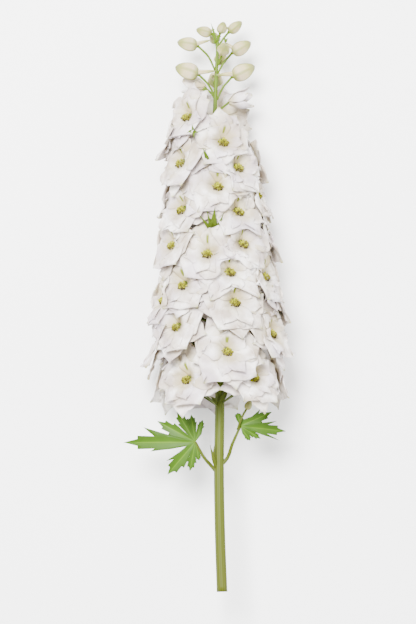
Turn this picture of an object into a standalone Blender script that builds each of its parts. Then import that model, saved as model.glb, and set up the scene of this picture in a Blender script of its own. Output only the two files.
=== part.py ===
"""A cut spike of white delphinium, lying on a flat surface with its face up.

One stem carries the flower stalks, each with its tuft of stamens at the end. Round it stand the
white florets, each a whorl of five sepals with a shorter whorl of five petals inside, and the buds
at the tip. Below the florets grow a cut leaf and a side shoot.

Places are given by their station, the distance along the stem from its cut end, and their bearing
round the stem, from 0 at the face that looks up. +Y runs along the stem to the tip, +X to the right.
"""

import math
from collections import namedtuple

import bmesh
import bpy
import numpy as np
from mathutils import Vector

MM = 0.001

# Tables along the stem: (station, value), both in millimetres.
STEM_SIDEWAYS = ((0, 9), (50, 7.2), (110, 6), (200, 6.8), (340, 3.2), (467, 1.6), (514, 3.2), (556, 5))
STEM_RADIUS = ((0, 5.4), (190, 4.7), (300, 3.7), (467, 2.2), (520, 1.8), (556, 1.3))
FACE_RADIUS = ((213, 56), (235, 60), (262, 61), (300, 57), (340, 53), (380, 47), (440, 42), (474, 38))
FLORET_REACH = ((213, 34), (300, 33.5), (400, 31.5), (474, 29))

STEM_TIP = 556
STEM_STEPS = 11
AXIS_SLOPE = 0.07
UNDERSIDE_PRESS = 0.19
SURFACE = -72.5
SURFACE_ROOM = 2.6

# Florets that face up, measured from the front: (to the right of the stem, station).
FACING_FLORETS = (
    (-28, 474), (9, 448), (-34, 428), (24, 423), (3, 404), (-34, 381), (23, 379), (-44, 346), (27, 347),
    (-9, 337), (13, 319), (-34, 306), (17, 289), (-42, 265), (8, 241), (-33, 213), (34, 215),
)
HALF_OPEN_FLORETS = (
    # name, bearing, station, radius of its base from the stem's axis, length
    ("half_open_left", -118, 505, 12, 23),
    ("half_open_right", 76, 490, 14, 23),
)
HALF_OPEN_ROOM = 12.0
HALF_OPEN_ROWS = ((0.0, 2.4), (0.25, 6.6), (0.6, 8.6))
HALF_OPEN_TIP = 9.4
HALF_OPEN_SINUS = (0.72, 9.0)
OPEN_FLORETS = 42
FILL_STATIONS = (213, 482)

# One floret, measured on its own face before it is laid round the spike.
PETALS = 5
THROAT_RADIUS = 3.6
THROAT_DEPTH = 7.0
THROAT_WALL = 2.4
BOWL_RADIUS = 13.0
BOWL_CAP = 0.6
SINUS_CAP = 0.8
SHOULDER_CAP = 0.92
INNER_BOWL_CAP = 0.5
INNER_SINUS_CAP = 0.62
INNER_TIP_CAP = 0.8
SINUS_SHARE = 0.66
SHOULDER_SHARE = 0.86
SHOULDER_BEARING = math.radians(25)
INNER_BOWL_RADIUS = 9.0
INNER_SINUS_SHARE = 0.45
INNER_BOWL_DEPTH = 1.0
INNER_SINUS_LIFT = 2.2
INNER_REACH_SHARE = 0.63
INNER_TIP_DEPTH = 2.6
PETAL_THICKNESS = 0.75
FLORET_TILT = 0.3
FLORET_SPREAD = 0.12

# Room between neighbouring florets.
EYE_ROOM = 12.0
CENTRE_ROOM = 22.5
SHEET_GAP = 2.4
SEAM = 1.0

# Flower stalks: how far below its floret each leaves the stem, and its rings from the floret's face back.
STALK_RISE = ((213, 30), (350, 26), (480, 18), (505, 14))
STALK_SIDES = 6
STALK_RADIUS = 1.1
TUFT_RINGS = ((-8.6, 1.7), (-4.6, 2.6), (-1.4, 3.7))
TUFT_TOP = 1.2
STAMEN_HEIGHT = 3.4

# Buds at the tip: each stands on a stalk from its foot to its base and points at its tip. Every point is
# (to the right, station, height above the stem's axis). The last is the end of its spur.
BUDS = (
    ("bud_top_left", (2, 548, 0), (-1, 557.5, 2), (-17, 562, 3), 5.6, (1.5, 562.5, -1)),
    ("bud_top", (4, 550, 1), (7, 557.5, 5), (11, 569, 10), 5.2, (4, 562, -2)),
    ("bud_top_right", (6, 546, 0), (15.5, 559, 1), (29, 570, 3), 5.4, (11, 564.5, 1)),
    ("bud_left", (2, 521, 0), (-15, 545, 4), (-36, 549, 6), 7.2, (-3, 551, 5)),
    ("bud_centre", (5, 526, 2), (10, 539, 10), (11.5, 543, 25), 6.4, (12, 549, 3)),
    ("bud_right", (5, 518, 0), (19, 538, 2), (38, 549, 5), 7.2, (12, 549, -3)),
    ("bud_low_left", (2, 494, 0), (-14, 516, 3), (-38, 524, 5), 8.8, (3, 520, 5)),
    ("bud_low_right", (4, 491, 0), (19, 514, 1), (42, 525, 4), 8.6, (3, 515.5, 7)),
    ("bud_back_top", (4, 540, -2), (3, 550, -9), (0, 560, -20), 5.6, (8, 556, -5)),
    ("bud_back", (3, 520, -2), (6, 531, -13), (10, 539, -29), 6.6, (5, 538, -6)),
    ("bud_back_low", (3, 497, -2), (2, 509, -15), (3, 518, -33), 7.8, (0, 517, -7)),
)
BUD_RINGS = ((0, 0.28), (0.18, 0.8), (0.48, 1.0), (0.78, 0.72))
BUD_SIDES = 10
BUD_GROOVE = 0.86
BUD_GAP = 0.4

# Bracts on the stem and its stalks: foot, middle, tip and width.
BRACTS = (
    ((6, 186, 4), (12, 196, 7), (16, 205, 8), 4.5),
    ((4, 187, 4), (0, 192, 7), (-3, 194, 9), 3.5),
    ((3, 122, 3), (0, 134, 8), (-3, 146, 10), 3.4),
    ((3, 124, 3), (1, 138, 7), (2, 149, 8), 2.4),
    ((3, 548, 1), (0, 562, 4), (-2, 568, 5), 2.4),
    ((3, 344, 2), (1, 362, 18), (0, 378, 34), 4.2),
    ((3, 344, 2), (-4, 360, 17), (-8, 372, 30), 3.2),
    ((3, 344, 2), (8, 360, 18), (10, 372, 30), 3.0),
)
BRACT_THICKNESS = 0.9

# Leaves: junction of stalk and blade, then each lobe's tip, half width and forks, counter-clockwise.
# Lobe tips and forks are (to the right, station) from the junction.
LEFT_LEAF = dict(
    name="leaf_left",
    petiole=((-2.0, 125, 0), (-8, 132, 5), (-17.6, 148.8, 8)),
    lobes=(
        ((7.3, 21.8), 2.1, ()),
        ((-4.2, 27.3), 2.6, ()),
        ((-18.7, 30.9), 3.4, ()),
        ((-38.1, 20.6), 3.8, ()),
        ((-72.1, -1.2), 5.4, ((-52.1, 14.5), (-44.8, -9.7))),
        ((-27.8, -32.7), 4.6, ((-29.0, -19.0),)),
        ((-5.4, -29.1), 2.8, ()),
        ((3.6, -18.2), 1.8, ()),
    ),
    hub=8.5,
)
RIGHT_LEAF = dict(
    name="leaf_right",
    petiole=((14.2, 132.4, 0), (19, 146, 5), (27.3, 164.5, 8)),
    lobes=(
        ((9.7, -14.5), 1.9, ()),
        ((20.0, -12.5), 2.0, ()),
        ((45.5, -5.4), 3.8, ((36.4, 5.0), (39.0, -14.5))),
        ((31.5, 14.0), 3.4, ((20.0, 17.0),)),
        ((-3.0, 13.0), 2.2, ()),
    ),
    hub=6.5,
)
SIDE_SHOOT = ((18.5, 151, 10), (24, 166, 13), (29, 176, 12), (33, 181, 10))
SIDE_BUD_TIP = (37, 190, 9)
SIDE_BUD_RADIUS = 3.4
LOBE_ROWS = ((0.28, 0.9), (0.54, 0.9), (0.78, 0.55))
TOOTH_REACH = 0.4
LEAF_THICKNESS = 0.8
LEAF_DROOP = 0.0035
LEAF_FOLD = 1.2
PETIOLE_RADIUS = 1.7

STEM_GREEN = (0.24, 0.27, 0.05, 1)
LEAF_GREEN = (0.16, 0.34, 0.04, 1)
PETAL_WHITE = (0.86, 0.85, 0.88, 1)
BUD_CREAM = (0.72, 0.75, 0.50, 1)

Floret = namedtuple("Floret", "name bearing station face reach is_open")


def clear_scene():
    for obj in list(bpy.data.objects):
        bpy.data.objects.remove(obj, do_unlink=True)


def along(table, station):
    """The value of a table at a station, on a smooth curve through its points."""
    places, values = (np.array(column, float) for column in zip(*table))
    slopes = np.gradient(values, places)
    station = min(max(station, places[0]), places[-1])
    i = min(int(np.searchsorted(places, station, side="right")) - 1, len(places) - 2)
    step = places[i + 1] - places[i]
    t = (station - places[i]) / step
    return float(
        values[i] * (1 + 2 * t) * (1 - t) ** 2
        + slopes[i] * step * t * (1 - t) ** 2
        + values[i + 1] * t * t * (3 - 2 * t)
        + slopes[i + 1] * step * t * t * (t - 1)
    )


def axis_point(station):
    """The middle of the stem at a station. It sinks towards the tip, as the spike lies on its widest florets."""
    return Vector((along(STEM_SIDEWAYS, station), station, -AXIS_SLOPE * station))


def pressed(bearing):
    """How far the spike's underside is pressed in by its own weight, as a share of the radius."""
    return 1 - UNDERSIDE_PRESS * max(0.0, -math.cos(bearing)) ** 2


def round_stem(bearing, station, radius):
    """A point at a bearing round the stem and a radius from its axis, in millimetres."""
    outward = Vector((math.sin(bearing), 0, math.cos(bearing)))
    return axis_point(station) + outward * radius * pressed(bearing)


def turn_between(first, second):
    """The angle from one bearing to another, the short way round."""
    return (second - first + math.pi) % (2 * math.pi) - math.pi


def arc_radius(floret):
    """The radius that turns a distance across a floret's face into a bearing."""
    return floret.face * pressed(floret.bearing)


def offset(floret, other):
    """Where another floret's centre lies on this floret's face: (across, along)."""
    return turn_between(floret.bearing, other.bearing) * arc_radius(floret), other.station - floret.station


def new_floret(name, bearing, station):
    return Floret(name, bearing, station, along(FACE_RADIUS, station), along(FLORET_REACH, station), True)


def emptiest_place(florets):
    """The place on the sides and back of the spike that is furthest from every floret so far."""

    def distance(place, floret):
        radius = (place.face + floret.face) / 2
        across = turn_between(place.bearing, floret.bearing) * radius
        return math.hypot(across, place.station - floret.station)

    best, best_room = None, 0.0
    for degrees in range(64, 360 - 64, 4):
        for station in range(FILL_STATIONS[0], FILL_STATIONS[1], 3):
            place = new_floret("", math.radians(degrees), station)
            room = min(distance(place, floret) for floret in florets)
            if room > best_room:
                best, best_room = place, room
    return best


def lay_out_florets():
    """The facing florets as measured, then each further one where there is most room for it."""
    florets = [
        Floret(name, math.radians(bearing), station, base, HALF_OPEN_ROOM, False)
        for name, bearing, station, base, _ in HALF_OPEN_FLORETS
    ]
    for across, station in FACING_FLORETS:
        eye_radius = along(FACE_RADIUS, station) - 2
        florets.append(new_floret("", math.asin(across / eye_radius), station))
    while len(florets) < OPEN_FLORETS + len(HALF_OPEN_FLORETS):
        florets.append(emptiest_place(florets))
    florets.sort(key=lambda floret: floret.station)
    return [floret._replace(name=floret.name or f"floret_{n:02d}") for n, floret in enumerate(florets, 1)]


def face_depth(radius):
    """How far the whorl of sepals stands out from the floret's face, at a distance from its centre."""
    rise = np.clip((radius - THROAT_RADIUS) / (BOWL_RADIUS - THROAT_RADIUS), 0, 1)
    return -THROAT_DEPTH * (1 - rise)


def face_radius(floret, across, up):
    """The radius from the stem of a floret's face. Each faces a little upwards, so its lower edge stands out."""
    return floret.face - FLORET_TILT * up + FLORET_SPREAD * across**2 / (2 * floret.face)


def on_spike(floret, point):
    """Lays a point of a floret's own face (across, up, depth) round the spike."""
    across, up, depth = point
    bearing = floret.bearing + across / ((floret.face + min(depth, 0.0)) * pressed(floret.bearing))
    return round_stem(bearing, floret.station + up, face_radius(floret, across, up) + depth)


def rested(point, room=0.0):
    """Petals that would reach below the surface that the spike lies on are pressed flat by it."""
    return Vector((point.x, point.y, max(point.z, SURFACE + room)))


def passes_over(upper, lower, room):
    """Whether the upper floret's sepals clear the lower floret everywhere beyond room from its centre."""
    steps = np.arange(-36.0, 37.0, 3.0)
    across, up = (grid.ravel() for grid in np.meshgrid(steps, steps))
    to_lower = offset(upper, lower)
    lower_across = (across - to_lower[0]) * arc_radius(lower) / arc_radius(upper)
    lower_up = up - to_lower[1]
    own, other = np.hypot(across, up), np.hypot(lower_across, lower_up)
    shared = (own >= EYE_ROOM) & (own <= upper.reach) & (other >= room) & (other <= lower.reach)
    if not shared.any():
        return True
    level = face_radius(upper, across, up) + face_depth(own)
    inner_lift = np.where(other < INNER_REACH_SHARE * lower.reach + 1, INNER_TIP_DEPTH, 0.0)
    below = face_radius(lower, lower_across, lower_up) + face_depth(other) + inner_lift
    return bool((level - below)[shared].min() >= SHEET_GAP)


def neighbours(floret, florets):
    """What limits a floret's reach: (across, along, room) for each neighbour, with room None at a seam."""
    limits = []
    for other in florets:
        across, up = offset(floret, other)
        if other is floret or math.hypot(across, up) > floret.reach + other.reach:
            continue
        upper, lower = (other, floret) if up > 0 else (floret, other)
        if not other.is_open:
            room = HALF_OPEN_ROOM
        elif passes_over(upper, lower, EYE_ROOM):
            room = EYE_ROOM
        elif math.hypot(across, up) > CENTRE_ROOM + 15 and passes_over(upper, lower, CENTRE_ROOM):
            room = CENTRE_ROOM if floret is upper else EYE_ROOM
        else:
            room = None
        limits.append((across, up, room))
    return limits


def reach_towards(bearing, reach, limits):
    """How far a petal may reach on a bearing of the floret's face before it meets a neighbour's room."""
    for across, up, room in limits:
        distance = math.hypot(across, up)
        turn = turn_between(math.atan2(across, up), bearing)
        ahead, aside = distance * math.cos(turn), distance * math.sin(turn)
        if ahead <= 0:
            continue
        if room is None:
            reach = min(reach, (distance / 2 - SEAM) / math.cos(turn))
        elif abs(aside) < room:
            reach = min(reach, ahead - math.sqrt(room**2 - aside**2))
    return reach


def polar(radius, bearing, depth):
    return Vector((radius * math.sin(bearing), radius * math.cos(bearing), depth))


def extrude_row(bm, row, places):
    """Extrudes the edges of a row of vertices and moves the new row to the places given."""
    edges = [bm.edges.get(pair) for pair in zip(row, row[1:])]
    made = bmesh.ops.extrude_edge_only(bm, edges=edges)["geom"]
    fresh = [item for item in made if isinstance(item, bmesh.types.BMVert)]
    next_row = [next(vert for vert in fresh if bm.edges.get((old, vert))) for old in row]
    for vert, place in zip(next_row, places):
        vert.co = place
    return next_row


def close_tip(bm, row, tip):
    """Extrudes a row of vertices to a single point."""
    last = extrude_row(bm, row, [tip] * len(row))
    bmesh.ops.pointmerge(bm, verts=list(dict.fromkeys(last)), merge_co=tip)


def new_object(name, bm, colour, roughness=0.6):
    mesh = bpy.data.meshes.new(name)
    bm.to_mesh(mesh)
    bm.free()
    mesh.shade_smooth()
    mesh.set_sharp_from_angle(angle=math.radians(35))
    obj = bpy.data.objects.new(name, mesh)
    bpy.context.scene.collection.objects.link(obj)
    paint(obj, colour, roughness)
    return obj


def paint(obj, colour, roughness=0.6):
    material = bpy.data.materials.new(obj.name)
    material.use_nodes = True
    shader = material.node_tree.nodes["Principled BSDF"]
    shader.inputs["Base Color"].default_value = colour
    shader.inputs["Roughness"].default_value = roughness
    obj.data.materials.clear()
    obj.data.materials.append(material)


def apply_modifiers(obj):
    """Replaces an object's mesh by its evaluated one, so that no modifier is left on it."""
    graph = bpy.context.evaluated_depsgraph_get()
    mesh = bpy.data.meshes.new_from_object(obj.evaluated_get(graph))
    obj.modifiers.clear()
    obj.data = mesh


def fuse(obj, grown_on):
    """Joins closed meshes to the one that they grow from, in one Boolean union."""
    joined = bpy.data.collections.new(obj.name + "_joined")
    bpy.context.scene.collection.children.link(joined)
    for other in grown_on:
        bpy.context.scene.collection.objects.unlink(other)
        joined.objects.link(other)
    union = obj.modifiers.new("union", "BOOLEAN")
    union.operation = "UNION"
    union.operand_type = "COLLECTION"
    union.collection = joined
    union.solver = "MANIFOLD"
    apply_modifiers(obj)
    for other in grown_on:
        bpy.data.objects.remove(other, do_unlink=True)
    bpy.data.collections.remove(joined)


def make_floret(floret, limits):
    """Five sepals round a narrow throat, and from the throat's wall a shorter whorl of five petals."""
    bm = bmesh.new()
    count = 2 * PETALS
    step = math.pi / PETALS
    scale = floret.reach / 31

    def face_point(radius, bearing, lift, cap, room=0.0):
        radius = min(radius, cap * reach_towards(bearing, floret.reach, limits))
        place = polar(radius, bearing, float(face_depth(radius)) + lift)
        return rested(on_spike(floret, place), room)

    def wall_ring(depth):
        return [on_spike(floret, polar(THROAT_RADIUS, k * step, depth)) for k in range(count + 1)]

    throat = bmesh.ops.create_circle(bm, segments=count)["verts"]
    for vert, place in zip(throat, wall_ring(-THROAT_DEPTH)):
        vert.co = place
    throat.append(throat[0])

    behind = SURFACE_ROOM
    bowl_places = [
        face_point(SINUS_SHARE * floret.reach, k * step, 0, SINUS_CAP, behind) if k % 2
        else face_point(BOWL_RADIUS * scale, k * step, 0, BOWL_CAP, behind)
        for k in range(count + 1)
    ]
    bowl = extrude_row(bm, throat, bowl_places)[:-1]
    for petal in range(PETALS):
        middle = 2 * petal * step
        row = [bowl[(2 * petal + side) % count] for side in (-1, 0, 1)]
        across = SHOULDER_SHARE * floret.reach
        shoulders = [
            face_point(across, middle + side * SHOULDER_BEARING, 0.5 if side else -0.5, SHOULDER_CAP, behind)
            for side in (-1, 0, 1)
        ]
        row = extrude_row(bm, row, shoulders)
        close_tip(bm, row, face_point(floret.reach, middle, -0.2, 1))

    wall = extrude_row(bm, throat, wall_ring(THROAT_WALL - THROAT_DEPTH))
    lift = INNER_BOWL_DEPTH - float(face_depth(INNER_BOWL_RADIUS * scale))
    inner_places = [
        face_point(INNER_BOWL_RADIUS * scale, k * step, lift, INNER_BOWL_CAP) if k % 2
        else face_point(INNER_SINUS_SHARE * floret.reach, k * step, INNER_SINUS_LIFT, INNER_SINUS_CAP)
        for k in range(count + 1)
    ]
    inner = extrude_row(bm, wall, inner_places)[:-1]
    for petal in range(PETALS):
        middle = (2 * petal + 1) * step
        row = [inner[(2 * petal + side) % count] for side in (0, 1, 2)]
        tip = face_point(INNER_REACH_SHARE * floret.reach, middle, INNER_TIP_DEPTH, INNER_TIP_CAP)
        close_tip(bm, row, tip)

    for vert in bm.verts:
        vert.co *= MM
    bmesh.ops.recalc_face_normals(bm, faces=bm.faces)
    bmesh.ops.triangulate(bm, faces=bm.faces)
    obj = new_object(floret.name, bm, PETAL_WHITE)
    shell = obj.modifiers.new("thickness", "SOLIDIFY")
    shell.thickness = PETAL_THICKNESS * MM
    shell.offset = 0
    apply_modifiers(obj)
    return obj


def loft(name, rings, colour, peak=None):
    """A closed solid through rings of points, with flat ends, or with its last end raised to a peak."""
    bm = bmesh.new()
    first = bmesh.ops.create_circle(bm, segments=len(rings[0]), cap_ends=True)["verts"]
    for vert, place in zip(first, rings[0]):
        vert.co = place
    row = [*first, first[0]]
    for ring in rings[1:]:
        row = extrude_row(bm, row, [*ring, ring[0]])
    if peak is None:
        bmesh.ops.contextual_create(bm, geom=row[:-1])
    else:
        close_tip(bm, row, peak)
    for vert in bm.verts:
        vert.co *= MM
    bmesh.ops.recalc_face_normals(bm, faces=bm.faces)
    return new_object(name, bm, colour)


def ring_of_points(centre, along_path, sideways, radii, count, turn=0.0):
    """Points round a path: radii gives the half widths sideways and across, and each point's share of them."""
    side = (sideways - along_path * sideways.dot(along_path)).normalized()
    up = along_path.cross(side)
    wide, thick, shares = radii
    return [
        centre
        + side * wide * math.sin(turn + k * math.tau / count) * shares[k % len(shares)]
        + up * thick * math.cos(turn + k * math.tau / count) * shares[k % len(shares)]
        for k in range(count)
    ]


def near_stem(point):
    """A point given as (to the right, station, height above the stem's axis)."""
    right, station, height = point
    return Vector((right, station, axis_point(station).z + height))


def make_stalk(floret):
    """A flower stalk that leaves the stem, passes the floret's throat and ends in a tuft of stamens."""
    outward = Vector((math.sin(floret.bearing), 0, math.cos(floret.bearing)))
    sideways = Vector((math.cos(floret.bearing), 0, -math.sin(floret.bearing)))
    rise = along(STALK_RISE, floret.station)
    neck = on_spike(floret, (0, 0, TUFT_RINGS[0][0] - 2))
    foot = axis_point(floret.station - rise)
    middle = foot.lerp(neck, 0.55) + Vector((0, -0.05 * rise, 0)) + outward * 0.04 * rise
    path = (neck - foot).normalized()
    rings = [
        ring_of_points(place, path, sideways, (STALK_RADIUS, STALK_RADIUS, (1,)), STALK_SIDES)
        for place in (foot, middle)
    ]
    step = math.tau / STALK_SIDES
    for depth, radius in TUFT_RINGS:
        rings.append([on_spike(floret, polar(radius, k * step, depth)) for k in range(STALK_SIDES)])
    stalk = loft("stalk", rings, STEM_GREEN)
    bm = bmesh.new()
    bm.from_mesh(stalk.data)
    centre = on_spike(floret, (0, 0, TUFT_RINGS[-1][0])) * MM
    top = min((face for face in bm.faces if len(face.verts) == STALK_SIDES),
              key=lambda face: (face.calc_center_median() - centre).length)
    spikes = bmesh.ops.poke(bm, faces=[top])
    spikes["verts"][0].co = on_spike(floret, (0, 0, TUFT_TOP - 2)) * MM
    stamens = bmesh.ops.poke(bm, faces=spikes["faces"])["verts"]
    for vert in stamens:
        away = vert.co - centre
        vert.co = rested((centre + away * 1.25) / MM + outward * STAMEN_HEIGHT) * MM
    bm.to_mesh(stalk.data)
    bm.free()
    return stalk


def half_open_ends(floret, base_radius, length):
    """The base and the tip of a half open floret, which stands straight out from the stem."""
    base = round_stem(floret.bearing, floret.station - 2, base_radius)
    return base, round_stem(floret.bearing, floret.station + 3, base_radius + length)


def make_half_open(name, base, tip):
    """A bell of five sepals that are about to open, round the closed petals inside."""
    path = (tip - base).normalized()
    base = base + path * BUD_GAP
    length = (tip - base).length
    sideways = Vector((0, 1, 0))
    bm = bmesh.new()

    def bell_ring(share, radius):
        return ring_of_points(base + path * length * share, path, sideways, (radius, radius, (1,)), 2 * PETALS)

    first = bell_ring(*HALF_OPEN_ROWS[0])
    row = bmesh.ops.create_circle(bm, segments=len(first), cap_ends=True)["verts"]
    for vert, place in zip(row, first):
        vert.co = place
    row = [*row, row[0]]
    for share, radius in HALF_OPEN_ROWS[1:]:
        ring = bell_ring(share, radius)
        row = extrude_row(bm, row, [*ring, ring[0]])
    tips, sinuses = bell_ring(1.0, HALF_OPEN_TIP), bell_ring(*HALF_OPEN_SINUS)
    rim = [tips[k] if k % 2 == 0 else sinuses[k] for k in range(2 * PETALS)]
    extrude_row(bm, row, [*rim, rim[0]])
    for vert in bm.verts:
        vert.co *= MM
    bmesh.ops.recalc_face_normals(bm, faces=bm.faces)
    bmesh.ops.triangulate(bm, faces=bm.faces)
    bell = new_object(name, bm, PETAL_WHITE)
    shell = bell.modifiers.new("thickness", "SOLIDIFY")
    shell.thickness = PETAL_THICKNESS * MM
    shell.offset = -1
    apply_modifiers(bell)
    core_rings = [
        ring_of_points(base + path * length * share, path, sideways, (radius, radius, (1, 0.8)), 2 * PETALS)
        for share, radius in ((0.01, 1.4), (0.3, 4.0), (0.6, 4.4))
    ]
    fuse(bell, [loft("core", core_rings, PETAL_WHITE, peak=base + path * length * 0.85)])
    return bell


def make_bud(name, base, tip, radius, spur_end):
    """A closed bud with a groove between its sepals and a spur that leaves it near its base."""
    base, tip, spur_end = near_stem(base), near_stem(tip), near_stem(spur_end)
    path = (tip - base).normalized()
    base = base + path * BUD_GAP
    length = (tip - base).length
    sideways = Vector((0, 0, 1)) if abs(path.z) < 0.8 else Vector((1, 0, 0))
    rings = [
        ring_of_points(base + path * length * share, path, sideways, (radius * wide, radius * wide,
                       (1, BUD_GROOVE if wide > 0.5 else 1)), BUD_SIDES)
        for share, wide in BUD_RINGS
    ]
    bud = loft(name, rings, BUD_CREAM, peak=tip)
    spur_path = (spur_end - base.lerp(tip, 0.3)).normalized()
    spur_rings = [
        ring_of_points(base.lerp(tip, 0.3), spur_path, sideways, (radius * 0.3, radius * 0.3, (1,)), 4),
        ring_of_points(base.lerp(tip, 0.3).lerp(spur_end, 0.75), spur_path, sideways, (1.1, 1.1, (1,)), 4),
    ]
    spur = loft("spur", spur_rings, BUD_CREAM, peak=spur_end)
    fuse(bud, [spur])
    return bud


def make_bud_stalk(foot, base, tip):
    """A bud's stalk, which thickens under the bud."""
    path = (base - foot).normalized()
    sideways = Vector((0, 0, 1))
    middle = foot.lerp(base, 0.6) - (tip - base).normalized() * 0.12 * (base - foot).length
    end_path = (tip - base).normalized()
    rings = [
        ring_of_points(foot, path, sideways, (1.0, 1.0, (1,)), 5),
        ring_of_points(middle, path, sideways, (0.9, 0.9, (1,)), 5),
        ring_of_points(base - end_path * 0.2, end_path, sideways, (1.5, 1.5, (1,)), 5),
    ]
    return loft("bud_stalk", rings, STEM_GREEN)


def make_bract(foot, middle, tip, width):
    foot, middle, tip = near_stem(foot), near_stem(middle), near_stem(tip)
    sideways = (tip - foot).cross(Vector((0, 0, 1)))
    path = (tip - foot).normalized()
    rings = [
        ring_of_points(foot, path, sideways, (width * 0.3, BRACT_THICKNESS, (1,)), 4),
        ring_of_points(middle, path, sideways, (width / 2, BRACT_THICKNESS / 2, (1,)), 4),
    ]
    return loft("bract", rings, STEM_GREEN, peak=tip)


def make_tube(name, points, radii, sides, colour):
    """A tube of changing width along a smooth run of points."""
    curve = bpy.data.curves.new(name, "CURVE")
    curve.dimensions = "3D"
    curve.bevel_depth = MM
    curve.bevel_resolution = (sides - 4) // 2
    curve.use_fill_caps = True
    spline = curve.splines.new("POLY")
    spline.points.add(len(points) - 1)
    for point, place, radius in zip(spline.points, points, radii):
        point.co = (*(place * MM), 1)
        point.radius = radius
    guide = bpy.data.objects.new("guide", curve)
    bpy.context.scene.collection.objects.link(guide)
    bpy.context.view_layer.update()
    graph = bpy.context.evaluated_depsgraph_get()
    mesh = bpy.data.meshes.new_from_object(guide.evaluated_get(graph))
    bpy.data.objects.remove(guide)
    bm = bmesh.new()
    bm.from_mesh(mesh)
    bmesh.ops.remove_doubles(bm, verts=bm.verts, dist=0.01 * MM)
    return new_object(name, bm, colour)


def make_stem(florets):
    """The stem, with every flower stalk and bract that grows on it."""
    half_open = [next(floret for floret in florets if floret.name == row[0]) for row in HALF_OPEN_FLORETS]
    stations = [STEM_TIP * k / STEM_STEPS for k in range(STEM_STEPS + 1)]
    stem = make_tube("stem", [axis_point(s) for s in stations], [along(STEM_RADIUS, s) for s in stations],
                     10, STEM_GREEN)
    grown = [make_stalk(floret) for floret in florets if floret.is_open]
    grown += [make_bud_stalk(*map(near_stem, bud[1:4])) for bud in BUDS]
    for floret, (_, _, station, base_radius, length) in zip(half_open, HALF_OPEN_FLORETS):
        foot = axis_point(station - along(STALK_RISE, station))
        grown.append(make_bud_stalk(foot, *half_open_ends(floret, base_radius, length)))
    grown += [make_bract(*bract) for bract in BRACTS]
    fuse(stem, grown)
    return stem


def make_leaf(name, petiole, lobes, hub):
    """A leaf cut into lobes, each with teeth along its edges. It droops away from its stalk."""
    junction = near_stem(petiole[-1])

    def blade_point(right, up, lift=0.0):
        distance = math.hypot(right, up)
        return junction + Vector((right, up, lift - LEAF_DROOP * distance**2))

    bearings = [math.atan2(tip[1], tip[0]) for tip, _, _ in lobes]
    gaps = [(b - a) % math.tau for a, b in zip(bearings, bearings[1:])]
    sinuses = [bearings[0] - 0.35, *(a + gap / 2 for a, gap in zip(bearings, gaps)), bearings[-1] + 0.35]

    bm = bmesh.new()
    hub_row = []
    for k, bearing in enumerate(bearings):
        hub_row.append(blade_point(0.8 * hub * math.cos(sinuses[k]), 0.8 * hub * math.sin(sinuses[k]), LEAF_FOLD / 2))
        hub_row.append(blade_point(hub * math.cos(bearing), hub * math.sin(bearing)))
    hub_row.append(blade_point(0.8 * hub * math.cos(sinuses[-1]), 0.8 * hub * math.sin(sinuses[-1]), LEAF_FOLD / 2))
    row = [bmesh.ops.create_vert(bm, co=place)["vert"][0] for place in hub_row]
    for pair in zip(row, row[1:]):
        bmesh.ops.contextual_create(bm, geom=pair)
    close_tip(bm, row, blade_point(0, 0))

    for k, (tip, half_width, forks) in enumerate(lobes):
        length = math.hypot(*tip)
        ahead = Vector((tip[0], tip[1])) / length
        aside = Vector((-ahead.y, ahead.x))
        lobe_row = row[2 * k:2 * k + 3]
        for share, wide in LOBE_ROWS:
            middle = ahead * (hub + (length - hub) * share)
            edges = [middle - aside * half_width * wide, middle, middle + aside * half_width * wide]
            places = [blade_point(*edges[0], LEAF_FOLD), blade_point(*edges[1]), blade_point(*edges[2], LEAF_FOLD)]
            fresh = extrude_row(bm, lobe_row, places)
            if share > LOBE_ROWS[0][0]:
                for side, inner, outer in ((-1, lobe_row[0], fresh[0]), (1, lobe_row[2], fresh[2])):
                    forked = [f for f in forks if share == LOBE_ROWS[1][0] and aside.dot(Vector(f)) * side > 0]
                    along_edge = middle + aside * side * half_width * (wide + TOOTH_REACH)
                    point = Vector(forked[0]) if forked else along_edge
                    pair = [inner, outer]
                    close_tip(bm, pair, blade_point(point.x, point.y, LEAF_FOLD + 0.6))
            lobe_row = fresh
        close_tip(bm, lobe_row, blade_point(*tip, LEAF_FOLD / 2))

    for vert in bm.verts:
        vert.co *= MM
    bmesh.ops.recalc_face_normals(bm, faces=bm.faces)
    bmesh.ops.triangulate(bm, faces=bm.faces)
    leaf = new_object(name, bm, LEAF_GREEN)
    shell = leaf.modifiers.new("thickness", "SOLIDIFY")
    shell.thickness = LEAF_THICKNESS * MM
    shell.offset = 0
    apply_modifiers(leaf)
    foot, middle, _ = (near_stem(point) for point in petiole)
    end = junction + Vector((0, 0, -0.9))
    stalk = make_tube("petiole", [foot, middle, end], [PETIOLE_RADIUS * 1.3, PETIOLE_RADIUS, PETIOLE_RADIUS * 0.8],
                      6, LEAF_GREEN)
    fuse(leaf, [stalk])
    return leaf


def make_side_shoot():
    """A short shoot from the right leaf's axil, which ends in one small bud."""
    points = [near_stem(point) for point in SIDE_SHOOT]
    shoot = make_tube("side_shoot", points, [1.3, 1.1, 1.0, 1.2], 6, STEM_GREEN)
    base, tip = points[-1], near_stem(SIDE_BUD_TIP)
    path = (tip - base).normalized()
    rings = [
        ring_of_points(base + path * ((tip - base).length * share - 0.5), path, Vector((1, 0, 0)),
                       (SIDE_BUD_RADIUS * wide, SIDE_BUD_RADIUS * wide, (1, BUD_GROOVE)), BUD_SIDES)
        for share, wide in BUD_RINGS
    ]
    fuse(shoot, [loft("side_bud", rings, STEM_GREEN, peak=tip)])
    return shoot


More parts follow.
